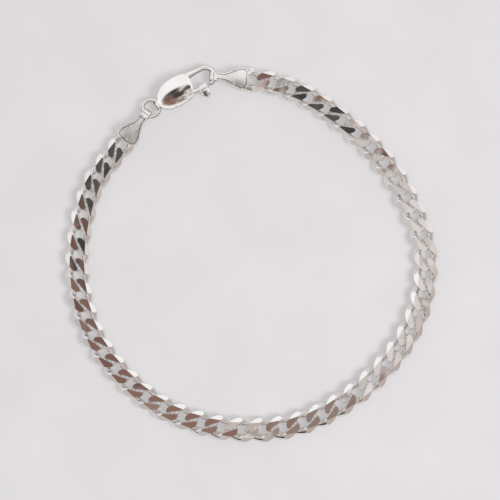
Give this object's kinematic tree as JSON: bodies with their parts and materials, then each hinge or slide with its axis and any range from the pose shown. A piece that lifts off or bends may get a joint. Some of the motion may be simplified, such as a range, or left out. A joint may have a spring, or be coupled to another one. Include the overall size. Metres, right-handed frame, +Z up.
{
  "type": "link bracelet",
  "caption": "Flat cut curb link bracelet with tapered end caps, a jump ring and a lobster clasp, fastened and lying flat as a loop.",
  "frame": {"origin": "under the middle of the loop's outline, on the surface that the bracelet lies on", "axes": "+Z up from that surface, +Y towards the clasp, +X to the right as the clasp is seen at the top"},
  "size_m": [0.0654, 0.0664, 0.0025],
  "materials": {
    "chain_silver": "polished wire with mirror-cut flat faces",
    "cap_silver": "polished plate, lightly worn",
    "clasp_silver": "mirror polish",
    "wire_silver": "polished drawn wire"
  },
  "bodies": {
    "bracelet": {"chain": "chain_silver", "end_cap_left": "cap_silver", "end_cap_right": "cap_silver", "jump_ring": "wire_silver", "clasp_body": "clasp_silver", "clasp_pin": "wire_silver"},
    "lever": {"clasp_lever": "clasp_silver"}
  },
  "joints": [
    {"name": "lever_hinge", "type": "hinge", "parent": "bracelet", "child": "lever", "pos_m": [-0.01075, 0.02817, 0.00125], "axis": [0, 0, 1], "range_deg": [0, 25], "stiffness_Nm_per_rad": 0.0004, "springref_deg": -17.19}
  ]
}
